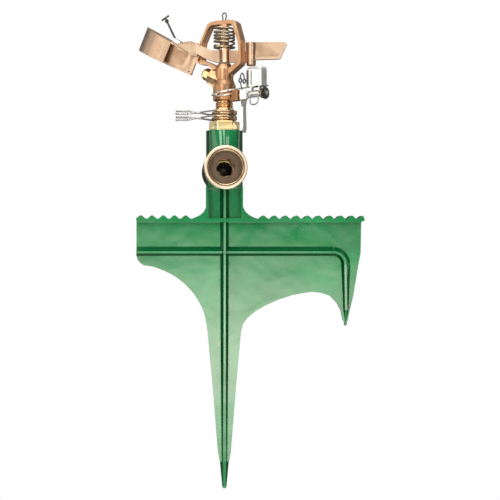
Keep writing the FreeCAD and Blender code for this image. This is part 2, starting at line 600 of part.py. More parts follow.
inner_wall = vane([(25.4, -6.6), (41.0, -5.6), (54.5, -4.6)], 1.5, -6.9, 8.7, -6.9, 10.7)
outer_pts = []
for k in range(0, 11):
    a = math.radians(-8 + 70 * k / 10.0)
    # circular arc bowed to the front, trailing away at its far end
    outer_pts.append((56.6 + 32.0 * math.sin(a), 16.4 - 26.2 * math.cos(a)))
outer_vane = vane(outer_pts, 1.5, -6.95, 10.6, -6.95, 12.85)


def skewed(ring, n_low, n_low_b, thick, s_from, s_to):
    def at_n(p, top):
        f = (p[0] - s_from) / (s_to - s_from)
        n = n_low + (n_low_b - n_low) * f + (thick if top else 0.0)
        return on_stream(p[0], p[1], n)
    m = len(ring)
    faces = [Part.Face(Part.makePolygon([at_n(p, False) for p in ring] + [at_n(ring[0], False)])),
             Part.Face(Part.makePolygon([at_n(p, True) for p in ring] + [at_n(ring[0], True)]))]
    for i in range(m):
        j = (i + 1) % m
        faces.append(Part.Face(Part.makePolygon([at_n(ring[i], False), at_n(ring[j], False), at_n(ring[j], True), at_n(ring[i], True), at_n(ring[i], False)])))
    return Part.makeSolid(Part.makeShell(faces))


rim = [(25.4, -8.3), (40.0, -7.6), (52.0, -8.9)] + outer_pts[1:-1] + [(outer_pts[-1][0], outer_pts[-1][1]),
      (outer_pts[-1][0] - 0.5, 4.2), (62.0, 5.0), (31.0, 4.6), (31.0, -3.4), (26.4, -5.5)]
top_flange = skewed(rim, 7.45, 11.6, 1.3, 25.4, 85.0)
low_flange = skewed(rim, -7.0, -7.0, 1.3, 25.4, 85.0)
# throat that ties the spoon to the bar: web over the channel's near end
neck = slab([(-25.9, 133.2), (-19.4, 130.4), (-19.0, 127.3), (-22.0, 127.2), (-27.2, 128.6)], -9.4, -5.8)
gusset = slab([(-37.6, 138.9), (-25.8, 139.6), (-19.8, 137.6), (-19.6, 127.0), (-24.0, 127.2), (-28.5, 129.9), (-37.6, 134.2)], -7.4, -4.9)
spoon = fuse([inner_wall, outer_vane, top_flange, low_flange])
slot = vane([(36.5, -9.6), (45.0, -9.6)], 7.0, -5.65, -3.4)
spoon = spoon.cut(slot)
notch = skewed([(26.8, -9.5), (32.0, -9.5), (32.0, -7.1), (26.8, -7.1)], -8.2, -8.2, 4.0, 25.4, 85.0)
spoon = spoon.cut(notch)
# pin boss on top of the spoon, bored for the diffuser pin
p_top, p_low = V(-53.9, 0, 162.1), V(-34.0, 0, 124.5)
pdir = (p_low - p_top).normalize()
arm = fuse([arm_local, spoon, neck, gusset])
arm = arm.cut(Part.makeCylinder(1.15, 60, p_top, pdir))
coded("arm_casting", arm, HEAD)

turned("arm_bushing_lower", [("pin_radius+0.05", 121.4), ("hub_bore+1.3", 121.4), ("hub_bore+1.3", 121.88),
                             ("hub_bore-0.02", 121.88), ("hub_bore-0.02", 128.0), ("pin_radius+0.05", 128.0)], place=HEAD)
turned("arm_bushing_upper", [("pin_radius+0.05", 141.0), ("hub_bore-0.02", 141.0), ("hub_bore-0.02", 147.62), ("hub_bore+0.5", 147.62),
                             ("hub_bore+0.5", 148.1), ("pin_radius+0.05", 148.1)], place=HEAD)
turned("thrust_washer_lower", [("pin_radius+0.05", 120.75), (4.6, 120.75), (4.6, 121.35), ("pin_radius+0.05", 121.35)], place=HEAD)

# torsion spring that returns the arm
sw = S("spring_wire")
sr_ = S("spring_radius")
turns = [135.4 + 2.76 * k for k in range(6)]
rings = [Part.makeTorus(sr_, sw, V(0, 0, z)) for z in turns]
links = [cyl(0.55, turns[k], turns[k + 1], sr_ * math.cos(math.radians(60 * k + 20)), sr_ * math.sin(math.radians(60 * k + 20))) for k in range(5)]
spring = rings[0]
for piece in rings[1:] + links:
    spring = spring.fuse(piece)
coded("arm_spring", spring, HEAD)
turned("spring_seat", [("tower_radius+0.05", 133.25), (8.6, 133.25), (8.6, 133.95), ("tower_radius+0.05", 133.95)], place=HEAD)

# diffuser pin and its clamp block
blk = Part.makeBox(6.6, 5.2, 3.2, V(-3.3, -2.6, 0))
blk.Placement = PLA(on_stream(51.4, -0.6, 10.62), ROT(V(0, 1, 0), S("stream_tilt") + 4.0))
clamp = blk.cut(Part.makeCylinder(0.86, 60, p_top, pdir))
coded("pin_clamp", clamp, HEAD)
rod = Part.makeCylinder(0.8, 31.0, p_top + pdir * 1.0, pdir)
tee = Part.makeCylinder(0.75, 7.0, p_top + pdir * 1.2 + V(pdir.z, 0, -pdir.x) * -3.5, V(pdir.z, 0, -pdir.x))
knob = Part.makeCylinder(1.5, 1.7, p_top + pdir * 3.2, pdir)
coded("diffuser_pin", fuse([rod, tee, knob]), HEAD)

# ---------------------------------------------------------------- trip works
TRIP = yaw(S("trip_yaw"))
tl, tp = S("trip_level"), S("trip_pin")
pin = Part.makeCylinder(tp, 33.2, V(9.8, 0, tl), V(1, 0, 0))
coded("trip_pivot_pin", pin, TRIP)
disc = Part.makeCylinder(4.7, 1.3, V(40.2, 0, tl), V(1, 0, 0)).fuse(Part.makeCylinder(2.6, 1.4, V(41.4, 0, tl), V(1, 0, 0)))
disc = disc.cut(Part.makeCylinder(tp, 6, V(39.0, 0, tl), V(1, 0, 0)))
coded("trip_retainer", disc, TRIP)

# lever: sheet-metal blade whose tail meets the collar tails
blade = Part.Face(poly([(19.4, -3.4, 98.4), (19.4, 3.4, 98.4), (19.4, 3.9, 93.0), (19.4, 2.3, 88.8), (19.4, 1.9, 85.8), (19.4, 2.5, 69.2),
                        (19.4, 1.7, 66.2), (19.4, -0.6, 65.8), (19.4, -1.9, 68.8), (19.4, -2.1, 85.8), (19.4, -3.2, 88.8), (19.4, -4.4, 92.6)])).extrude(V(1.2, 0, 0))
fold_l = Part.makeBox(6.4, 1.1, 7.0, V(19.4, -4.4, 91.5))
finger = Part.makeBox(1.2, 3.0, 8.0, V(19.4, -3.4, 98.0))
tube_l = Part.makeCylinder(2.6, 6.4, V(19.4, 0, tl), V(1, 0, 0))
lever = fuse([blade, fold_l, tube_l]).cut(Part.makeCylinder(tp + 0.05, 20, V(15, 0, tl), V(1, 0, 0)))
coded("trip_lever", lever, TRIP)

# hammer: bright hood that the returning arm's striker post meets in reverse
hub_h = Part.makeCylinder(2.8, 9.0, V(27.4, 0, tl), V(1, 0, 0))
arms_h = Part.makeBox(1.2, 3.2, 6.2, V(27.4, -1.6, tl)).fuse(Part.makeBox(1.2, 3.2, 6.2, V(35.2, -1.6, tl)))
behind = Part.makeBox(30, 20, 40, V(20, 5.4, 85))
hood_o = Part.makeCylinder(7.6, 15.0, V(32.6, 3.0, 100.6))
hood_i = Part.makeCylinder(6.7, 16.0, V(32.6, 3.0, 99.6))
hood = hood_o.cut(hood_i).cut(behind)
floor_h = Part.makeCylinder(7.6, 1.1, V(32.6, 3.0, 100.6)).cut(behind)
roof = Part.makeCylinder(7.6, 1.1, V(32.6, 3.0, 114.5)).cut(Part.makeBox(30, 20, 40, V(20, 1.2, 85)))
hammer = fuse([hub_h, arms_h, hood, floor_h, roof]).cut(Part.makeCylinder(tp + 0.05, 20, V(25, 0, tl), V(1, 0, 0)))
coded("trip_hammer", hammer, TRIP)
coded("trip_spring", coil(3.35, 0.4, 0, 2.7, 2.0), TRIP.multiply(PLA(V(36.95, 0, tl), ROT(V(0, 1, 0), 90))))

# wire strap clipped round the barrel, with its long free arm
ring_w = Part.makeTorus(br + 0.62, 0.6, V(0, 0, 96.5))
ring_gap = Part.makeBox(22, 22, 8, V(0, -11, 92.5)).copy()
ring_gap.rotate(V(0, 0, 0), V(0, 0, 1), 12)
strap = ring_w.cut(ring_gap)
a0 = math.radians(-78)
arm_w = tube_path([((br + 0.62) * math.cos(a0), (br + 0.62) * math.sin(a0), 96.7),
                   (7.4, -9.6, 100.4), (22.0, -15.0, 100.6), (39.5, -17.4, 100.9)], 0.6, 6.0)
coded("trip_strap", fuse([strap, arm_w]), HEAD)

# ----------------------------------------------------------------- check, write
doc.recompute()
bad = []
for o in doc.Objects:
    if any(w in ("Invalid", "Error") for w in o.State):
        bad.append((o.Name, o.State))
for n, o in NODES.items():
    sh = o.Shape
    if sh.isNull() or not sh.isValid() or sh.Volume <= 0:
        bad.append((n, "shape", sh.isNull(), None if sh.isNull() else sh.isValid()))
if bad:
    raise RuntimeError("failed: %s" % bad)
os.makedirs("parts", exist_ok=True)
for n, o in NODES.items():
    o.Label = n
    o.Shape.exportStep("parts/%s.step" % n)
    bb = o.Shape.BoundBox
    print("%-22s solids %d  vol %9.1f  X %.1f..%.1f Y %.1f..%.1f Z %.1f..%.1f" % (
        n, len(o.Shape.Solids), o.Shape.Volume, bb.XMin, bb.XMax, bb.YMin, bb.YMax, bb.ZMin, bb.ZMax))
print(len(NODES), "nodes")
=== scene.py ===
import bpy
import bmesh
import math
import random
from mathutils import Matrix, Vector


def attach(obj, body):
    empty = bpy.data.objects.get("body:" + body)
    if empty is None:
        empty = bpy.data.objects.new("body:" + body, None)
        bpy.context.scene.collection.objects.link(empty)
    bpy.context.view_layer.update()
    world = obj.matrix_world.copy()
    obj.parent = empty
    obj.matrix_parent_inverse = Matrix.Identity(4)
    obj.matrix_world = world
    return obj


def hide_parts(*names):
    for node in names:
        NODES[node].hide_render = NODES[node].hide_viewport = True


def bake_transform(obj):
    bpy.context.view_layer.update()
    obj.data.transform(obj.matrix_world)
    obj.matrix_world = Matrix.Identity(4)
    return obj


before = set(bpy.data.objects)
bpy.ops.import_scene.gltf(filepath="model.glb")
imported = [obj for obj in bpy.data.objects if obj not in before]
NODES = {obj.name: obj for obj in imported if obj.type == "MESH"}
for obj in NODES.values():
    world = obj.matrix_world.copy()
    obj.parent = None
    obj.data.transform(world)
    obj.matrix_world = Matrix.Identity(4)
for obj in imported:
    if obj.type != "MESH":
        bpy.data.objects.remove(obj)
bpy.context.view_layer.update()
MM = 0.001
random.seed(7)
scene = bpy.context.scene
scene.view_settings.view_transform = "Standard"
scene.view_settings.look = "None"
scene.view_settings.exposure = 0.0
scene.view_settings.gamma = 1.0


# ------------------------------------------------------------------ camera
def camera():
    yaw = math.radians(-3.2)
    cam = bpy.data.cameras.new("camera")
    cam.sensor_width = 36.0
    cam.lens = 92.3
    cam.clip_start, cam.clip_end = 0.05, 20.0
    o = bpy.data.objects.new("camera", cam)
    scene.collection.objects.link(o)
    c, s = math.cos(yaw), math.sin(yaw)
    target = Vector((0.0200 * c, 0.0200 * s, -0.0242))
    fwd = Vector((-s, c, 0.0))
    o.location = target - fwd * 1.0
    o.rotation_mode = "QUATERNION"
    o.rotation_quaternion = fwd.to_track_quat("-Z", "Y") @ Matrix.Rotation(math.radians(0.0), 3, "Z").to_quaternion()
    scene.camera = o
    return o


CAM = camera()


# --------------------------------------------------------------- materials
def srgb(r, g, b):
    def f(c):
        c = c / 255.0
        return c / 12.92 if c <= 0.04045 else ((c + 0.055) / 1.055) ** 2.4
    return (f(r), f(g), f(b), 1.0)


class Mat:
    """Small helper round one material's node tree."""

    def __init__(self, name):
        self.m = bpy.data.materials.new(name)
        self.m.use_nodes = True
        self.t = self.m.node_tree
        self.t.nodes.clear()
        self.out = self.n("ShaderNodeOutputMaterial")
        self.bsdf = self.n("ShaderNodeBsdfPrincipled")
        self.t.links.new(self.bsdf.outputs[0], self.out.inputs[0])

    def n(self, kind, **props):
        node = self.t.nodes.new(kind)
        for k, v in props.items():
            setattr(node, k, v)
        return node

    def link(self, a, b):
        self.t.links.new(a, b)

    def set(self, **vals):
        for k, v in vals.items():
            self.bsdf.inputs[k.replace("_", " ")].default_value = v

    def coords(self, scale=(1, 1, 1), rot=(0, 0, 0)):
        tc = self.n("ShaderNodeTexCoord")
        mp = self.n("ShaderNodeMapping")
        mp.inputs["Scale"].default_value = scale
        mp.inputs["Rotation"].default_value = rot
        self.link(tc.outputs["Object"], mp.inputs["Vector"])
        return mp.outputs[0]

    def noise(self, vec, scale, detail=4.0, rough=0.5, distort=0.0):
        nz = self.n("ShaderNodeTexNoise")
        nz.inputs["Scale"].default_value = scale
        nz.inputs["Detail"].default_value = detail
        nz.inputs["Roughness"].default_value = rough
        nz.inputs["Distortion"].default_value = distort
        self.link(vec, nz.inputs["Vector"])
        return nz.outputs["Fac"]

    def ramp(self, fac, stops):
        r = self.n("ShaderNodeValToRGB")
        el = r.color_ramp.elements
        while len(el) > 1:
            el.remove(el[-1])
        el[0].position, el[0].color = stops[0]
        for p, c in stops[1:]:
            e = el.new(p)
            e.color = c
        self.link(fac, r.inputs[0])
        return r.outputs[0]

    def rng(self, fac, a, b, c, d):
        m = self.n("ShaderNodeMapRange")
        for k, v in zip(("From Min", "From Max", "To Min", "To Max"), (a, b, c, d)):
            m.inputs[k].default_value = v
        self.link(fac, m.inputs["Value"])
        return m.outputs[0]

    def math(self, op, a, b):
        m = self.n("ShaderNodeMath", operation=op)
        for i, v in enumerate((a, b)):
            if isinstance(v, (int, float)):
                m.inputs[i].default_value = v
            else:
                self.link(v, m.inputs[i])
        return m.outputs[0]

    def bump(self, height, strength, distance, normal=None):
        b = self.n("ShaderNodeBump")
        b.inputs["Strength"].default_value = strength
        b.inputs["Distance"].default_value = distance
        self.link(height, b.inputs["Height"])
        if normal is not None:
            self.link(normal, b.inputs["Normal"])
        return b.outputs[0]

    def edge(self, lo=0.46, hi=0.54):
        """Worn edges: geometry's pointiness as a mask."""
        g = self.n("ShaderNodeNewGeometry")
        return self.rng(g.outputs["Pointiness"], lo, hi, 0.0, 1.0)

    def square_on(self, lo, hi):
        """How squarely the surface faces front or back: 0 on flanks, 1 on flats."""
        tc = self.n("ShaderNodeTexCoord")
        sx = self.n("ShaderNodeSeparateXYZ")
        self.link(tc.outputs["Normal"], sx.inputs[0])
        return self.rng(self.math("ABSOLUTE", sx.outputs[1], 0.0), lo, hi, 0.0, 1.0)

    def mix(self, fac, a, b):
        m = self.n("ShaderNodeMix", data_type="RGBA")
        for i, v in ((0, fac), (6, a), (7, b)):
            if isinstance(v, (int, float, tuple)):
                m.inputs[i].default_value = v
            else:
                self.link(v, m.inputs[i])
        return m.outputs[2]


def green_enamel():
    k = Mat("green_enamel")
    v = k.coords()
    big = k.noise(v, 22.0, 3.0, 0.55, 0.6)
    col = k.ramp(big, [(0.3, srgb(0, 116, 58)), (0.5, srgb(0, 130, 68)), (0.72, srgb(6, 142, 78))])
    # painted shade: surfaces turned sideways (the rib flanks) get a dark green mixed into the base colour
    flat = k.square_on(0.50, 0.90)
    col = k.mix(flat, srgb(0, 64, 27), col)
    # painted highlight: a light green line where the surface turns about 37 degrees from front or back (the rib-to-web
    # fillets), only below about z 0.012 m
    tc = k.n("ShaderNodeTexCoord")
    sn = k.n("ShaderNodeSeparateXYZ")
    so = k.n("ShaderNodeSeparateXYZ")
    k.link(tc.outputs["Normal"], sn.inputs[0])
    k.link(tc.outputs["Object"], so.inputs[0])
    off = k.math("ABSOLUTE", k.math("SUBTRACT", k.math("ABSOLUTE", sn.outputs[1], 0.0), 0.80), 0.0)
    fillet_painted_highlight = k.math("MULTIPLY", k.rng(off, 0.05, 0.13, 1.0, 0.0), k.rng(so.outputs[2], 0.012, 0.018, 0.85, 0.0))
    k.link(k.mix(fillet_painted_highlight, col, srgb(132, 204, 160)), k.bsdf.inputs["Base Color"])
    k.set(Roughness=0.16, IOR=1.5, Specular_IOR_Level=0.2, Coat_Weight=1.0, Coat_Roughness=0.05, Coat_IOR=1.6)
    k.link(k.rng(flat, 0.0, 1.0, 0.25, 1.0), k.bsdf.inputs["Coat Weight"])
    rough = k.rng(k.noise(v, 160.0, 4.0, 0.6), 0.3, 0.7, 0.20, 0.30)
    k.link(rough, k.bsdf.inputs["Roughness"])
    wave = k.noise(v, 38.0, 2.0, 0.4, 0.3)
    peel = k.noise(v, 900.0, 2.0, 0.5)
    nb = k.bump(wave, 0.35, 0.0009)
    nb2 = k.bump(peel, 0.05, 0.00012, nb)
    k.link(nb2, k.bsdf.inputs["Normal"])
    k.link(nb, k.bsdf.inputs["Coat Normal"])
    return k.m


def cast_metal(name, dark, mid, light, rough=(0.28, 0.42), grain=0.25, metallic=1.0, painted_shade_and_light=None):
    k = Mat(name)
    v = k.coords()
    big = k.noise(v, 60.0, 4.0, 0.6, 0.4)
    col = k.ramp(big, [(0.28, dark), (0.5, mid), (0.75, light)])
    col = k.mix(k.edge(0.50, 0.58), col, light)
    # painted shade darkens the casting below about z 0.1 m (weaker under about 0.075 m); a painted highlight lightens
    # the nozzle boss side (x below about -0.008 m, z below about 0.11 m)
    if painted_shade_and_light:
        tc = k.n("ShaderNodeTexCoord")
        so = k.n("ShaderNodeSeparateXYZ")
        k.link(tc.outputs["Object"], so.inputs[0])
        low_painted_shade = k.math("MULTIPLY", k.rng(so.outputs[2], 0.098, 0.108, 1.0, 0.0), k.rng(so.outputs[2], 0.073, 0.079, 0.35, 1.0))
        boss_painted_light = k.rng(so.outputs[0], -0.0085, -0.0072, 1.0, 0.0)
        boss_painted_light = k.math("MULTIPLY", boss_painted_light, k.rng(so.outputs[2], 0.108, 0.112, 1.0, 0.0))
        col = k.mix(k.math("MULTIPLY", low_painted_shade, 0.85), col, painted_shade_and_light[0])
        col = k.mix(boss_painted_light, col, painted_shade_and_light[1])
    k.link(col, k.bsdf.inputs["Base Color"])
    k.set(Metallic=metallic)
    k.link(k.rng(k.noise(v, 420.0, 4.0, 0.6), 0.3, 0.7, rough[0], rough[1]), k.bsdf.inputs["Roughness"])
    nb = k.bump(k.noise(v, 1400.0, 2.0, 0.5), grain, 0.00003)
    nb = k.bump(k.noise(v, 180.0, 2.0, 0.5), grain, 0.00010, nb)
    k.link(nb, k.bsdf.inputs["Normal"])
    return k.m


def turned_metal(name, base, light, rough=0.16, axis=(1, 1, 1), lines=0.15, metallic=1.0):
    k = Mat(name)
    v = k.coords(scale=axis)
    nz = k.noise(v, 70.0, 2.0, 0.5)
    col = k.ramp(nz, [(0.2, base), (0.8, light)])
    k.link(col, k.bsdf.inputs["Base Color"])
    k.set(Metallic=metallic)
    k.link(k.rng(nz, 0.3, 0.7, rough * 0.75, rough * 1.35), k.bsdf.inputs["Roughness"])
    k.link(k.bump(k.noise(v, 900.0, 2.0, 0.5), lines, 0.00002), k.bsdf.inputs["Normal"])
    return k.m


def faced_ring(name, bore_painted_shade, outer, centre, r0, r1, rough):
    """Machined face of a round coupling, with painted shade darkening it towards its bore."""
    k = Mat(name)
    tc = k.n("ShaderNodeTexCoord")
    sx = k.n("ShaderNodeSeparateXYZ")
    k.link(tc.outputs["Object"], sx.inputs[0])
    dx = k.math("SUBTRACT", sx.outputs[0], centre[0])
    dz = k.math("SUBTRACT", sx.outputs[2], centre[1])
    rad = k.math("SQRT", k.math("ADD", k.math("MULTIPLY", dx, dx), k.math("MULTIPLY", dz, dz)), 0.0)
    t = k.rng(rad, r0, r1, 0.0, 1.0)
    # painted shade: colour runs from the dark bore colour inside r0 to the face colour at r1
    k.link(k.mix(t, bore_painted_shade, outer), k.bsdf.inputs["Base Color"])
    k.set(Metallic=0.8)
    k.link(k.rng(k.noise(k.coords(), 90.0, 2.0, 0.5), 0.3, 0.7, rough * 0.8, rough * 1.3), k.bsdf.inputs["Roughness"])
    return k.m


def moulded(name, base, light, rough=0.5, grain=0.2):
    k = Mat(name)
    v = k.coords()
    col = k.ramp(k.noise(v, 140.0, 4.0, 0.6), [(0.3, base), (0.7, light)])
    k.link(col, k.bsdf.inputs["Base Color"])
    k.link(k.rng(k.noise(v, 500.0, 3.0, 0.6), 0.3, 0.7, rough * 0.85, rough * 1.15), k.bsdf.inputs["Roughness"])
    k.link(k.bump(k.noise(v, 1500.0, 2.0, 0.6), grain, 0.00012), k.bsdf.inputs["Normal"])
    return k.m


M = {
    "green": green_enamel(),
    # cast bronze; the last pair is the painted-shade colour for the lower body and the painted-highlight colour for the
    # nozzle boss
    "bronze": cast_metal("cast_bronze", srgb(168, 120, 82), srgb(194, 146, 106), srgb(220, 180, 144), (0.30, 0.42), 0.3, 1.0,
                         (srgb(146, 102, 68), srgb(250, 210, 166))),
    "bronze_arm": cast_metal("arm_bronze", srgb(166, 134, 110), srgb(190, 158, 132), srgb(216, 188, 162), (0.30, 0.42), 0.25),
    "brass": turned_metal("turned_brass", srgb(232, 204, 142), srgb(250, 232, 182), 0.22, (1, 1, 8), 0.05),
    "brass_neck": turned_metal("neck_bronze", srgb(196, 146, 98), srgb(222, 178, 128), 0.26, (1, 1, 8)),
    "brass_face": turned_metal("faced_brass", srgb(222, 190, 146), srgb(240, 216, 180), 0.30, (1, 8, 1), 0.1, 0.8),
    "swivel_face": faced_ring("swivel_face", srgb(120, 92, 68), srgb(246, 226, 196), (0.0, 0.0384), 0.0138, 0.0154, 0.30),
    "dark_bore": moulded("dark_bore", srgb(40, 26, 14), srgb(54, 38, 24), 0.5, 0.1),
    "chrome": turned_metal("bright_steel", srgb(226, 225, 220), srgb(242, 241, 236), 0.14, (1, 1, 3), 0.1, 0.75),
    "wire": turned_metal("spring_wire", srgb(150, 136, 112), srgb(196, 182, 156), 0.28, (4, 4, 1), 0.2),
    "wire_silver": turned_metal("tail_wire", srgb(150, 148, 146), srgb(200, 198, 196), 0.26, (4, 4, 1), 0.2, 0.8),
    # brass-tinted copy of the silver wire: painted reflection on the collar coils
    "wire_painted_brass_reflection": turned_metal("collar_wire", srgb(176, 146, 112), srgb(216, 188, 156), 0.26, (4, 4, 1), 0.2),
    "dark": turned_metal("dark_steel", srgb(70, 70, 66), srgb(104, 104, 98), 0.30, (1, 1, 2), 0.2),
    "brown_rubber": moulded("brown_rubber", srgb(88, 68, 46), srgb(108, 86, 62), 0.62, 0.3),
    "black_rubber": moulded("black_rubber", srgb(24, 24, 24), srgb(34, 34, 34), 0.6, 0.3),
    "black": moulded("black_plastic", srgb(20, 20, 21), srgb(32, 32, 33), 0.42, 0.25),
    "bearing": moulded("bearing_plastic", srgb(116, 104, 84), srgb(136, 122, 100), 0.45, 0.15),
}

FINISH = {
    "spike_casting": "green", "hose_tailpiece": "brass_face", "outlet_nipple": "brass", "bearing_nut": "brass",
    "bearing_spring": "wire", "seal_washer_lower": "black_rubber", "seal_washer_upper": "black_rubber",
    "hose_swivel": "swivel_face", "inlet_washer": "brown_rubber", "outlet_cap": "black", "cap_washer": "black_rubber",
    "collar_lower": "wire", "collar_upper": "wire", "body_casting": "bronze", "bearing_stem": "brass_neck",
    "nozzle": "brass", "rear_plug": "brass", "fulcrum_pin": "chrome", "cotter_pin": "dark",
    "thrust_washer_lower": "bearing", "arm_spring": "wire", "trip_pivot_pin": "chrome", "trip_retainer": "dark",
    "trip_spring": "wire", "trip_strap": "chrome", "arm_casting": "bronze_arm", "arm_bushing_lower": "bearing",
    "arm_bushing_upper": "bearing", "spring_seat": "wire", "pin_clamp": "chrome", "diffuser_pin": "dark",
    "trip_lever": "chrome", "trip_hammer": "chrome",
}
BEVEL = {"spike_casting": 0.8, "body_casting": 0.5, "arm_casting": 0.35, "bearing_nut": 0.35, "nozzle": 0.3, "outlet_cap": 0.6,
         "hose_swivel": 0.3, "hose_tailpiece": 0.25, "pin_clamp": 0.35, "trip_lever": 0.2, "trip_hammer": 0.2, "rear_plug": 0.3,
         "outlet_nipple": 0.2, "trip_retainer": 0.25}

for name, ob in NODES.items():
    mat = M[FINISH[name]]
    if not ob.material_slots:
        ob.data.materials.append(mat)
    for sl in ob.material_slots:
        sl.link = "OBJECT"
        sl.material = mat
    weld = ob.modifiers.new("weld", "WELD")
    weld.merge_threshold = 0.00001
    if name in BEVEL:
        bv = ob.modifiers.new("bevel", "BEVEL")
        bv.width = BEVEL[name] * MM
        bv.segments = 2
        bv.limit_method = "ANGLE"
        bv.angle_limit = math.radians(32)
        bv.use_clamp_overlap = True
        bv.harden_normals = False
        bv.miter_outer = "MITER_ARC"


# ------------------------------------------------------------ mesh helpers
def rz(deg):
    return Matrix.Rotation(math.radians(deg), 4, "Z")


HEAD, TRIP, COLLAR = rz(-30.0), rz(-43.0), rz(-3.0)


def smooth_path(pts, per=6):
    """Centripetal-ish Catmull-Rom through the points."""
    P = [Vector(p) for p in pts]
    out = []
    n = len(P)
    for i in range(n - 1):
        a = P[i - 1] if i > 0 else P[i] * 2 - P[i + 1]
        b, c = P[i], P[i + 1]
        d = P[i + 2] if i + 2 < n else P[i + 1] * 2 - P[i]
        for k in range(per):
            t = k / per
            out.append(0.5 * ((2 * b) + (c - a) * t + (2 * a - 5 * b + 4 * c - d) * t * t + (3 * b - a - 3 * c + d) * t ** 3))
    out.append(P[-1])
    return out


def wire_mesh(bm, pts, radius, sides=10, flat=None, closed=False):
    """Round (or flattened) wire along a list of points in millimetres."""
    P = [Vector(p) for p in pts]
    n = len(P)
    tang = []
    for i in range(n):
        a = P[(i - 1) % n] if closed else P[max(i - 1, 0)]
        b = P[(i + 1) % n] if closed else P[min(i + 1, n - 1)]
        tang.append((b - a).normalized())
    ref = Vector((0, 0, 1)) if abs(tang[0].z) < 0.9 else Vector((1, 0, 0))
    u = tang[0].cross(ref).normalized()
    rings = []
    for i in range(n):
        if i:
            u = (u - tang[i] * u.dot(tang[i]))
            u = u.normalized() if u.length > 1e-9 else tang[i].orthogonal().normalized()
        w = tang[i].cross(u).normalized()
        ru, rw = (radius, radius) if flat is None else flat(i / max(n - 1, 1), radius)
        ring = []
        for k in range(sides):
            t = 2 * math.pi * k / sides
            ring.append(bm.verts.new((P[i] + u * math.cos(t) * ru + w * math.sin(t) * rw) * MM))
        rings.append(ring)
    for i in range(n if closed else n - 1):
        a, b = rings[i], rings[(i + 1) % n]
        for k in range(sides):
            f = bm.faces.new((a[k], a[(k + 1) % sides], b[(k + 1) % sides], b[k]))
            f.smooth = True
    if not closed:
        bm.faces.new(rings[0][::-1])
        bm.faces.new(rings[-1])


def lathe(bm, prof, sides=48, axis="Z", start=0.0):
    """Closed (radius, height) ring revolved; millimetres."""
    rows = []
    for k in range(sides):
        t = 2 * math.pi * k / sides + start
        c, s = math.cos(t), math.sin(t)
        row = []
        for r, h in prof:
            if axis == "Z":
                co = (r * c, r * s, h)
            elif axis == "X":
                co = (h, r * c, r * s)
            else:
                co = (r * c, h, -r * s)
            row.append(bm.verts.new(Vector(co) * MM))
        rows.append(row)
    m = len(prof)
    for k in range(sides):
        a, b = rows[k], rows[(k + 1) % sides]
        for i in range(m):
            j = (i + 1) % m
            f = bm.faces.new((a[i], b[i], b[j], a[j]))
            f.smooth = False


def finish_piece(name, bm, matrix, body, mat, smooth_angle=35.0):
    bmesh.ops.recalc_face_normals(bm, faces=bm.faces)
    me = bpy.data.meshes.new(name)
    bm.to_mesh(me)
    bm.free()
    me.transform(matrix)
    me.set_sharp_from_angle(angle=math.radians(smooth_angle))
    for p in me.polygons:
        p.use_smooth = True
    o = bpy.data.objects.new(name, me)
    scene.collection.objects.link(o)
    o.data.materials.append(M[mat])
    if body:
        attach(o, body)
    return o


# ------------------------------------------------------- arm return spring
bm = bmesh.new()
pts = []
turns, z_lo, z_hi, rad = 5.25, 134.9, 149.6, 7.85
a_top = math.radians(150)
steps = int(turns * 40)
for k in range(steps + 1):
    f = k / steps
    a = a_top + 2 * math.pi * turns * f
    g = f + 0.035 * math.sin(2 * math.pi * f)
    pts.append(Vector((rad * math.cos(a), rad * math.sin(a), z_hi + (z_lo - z_hi) * min(max(g, 0.0), 1.0))))
t0 = (pts[0] - pts[1]).normalized()
lead = [pts[0] + t0 * 3.4 + Vector((0, 0, 0.9)), pts[0] + t0 * 1.7 + Vector((0, 0, 0.3))]
t1 = (pts[-1] - pts[-2]).normalized()
inward = -Vector((pts[-1].x, pts[-1].y, 0)).normalized()
trail = [pts[-1] + t1 * 1.6 + inward * 0.5 + Vector((0, 0, -0.2)), pts[-1] + t1 * 3.2 + inward * 1.7 + Vector((0, 0, -0.6)), pts[-1] + t1 * 4.2 + inward * 3.4 + Vector((0, 0, -0.9))]
wire_mesh(bm, lead + pts + trail, 0.74, 12)
o = finish_piece("return_spring", bm, HEAD, None, "wire")
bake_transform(o)
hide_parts("arm_spring")


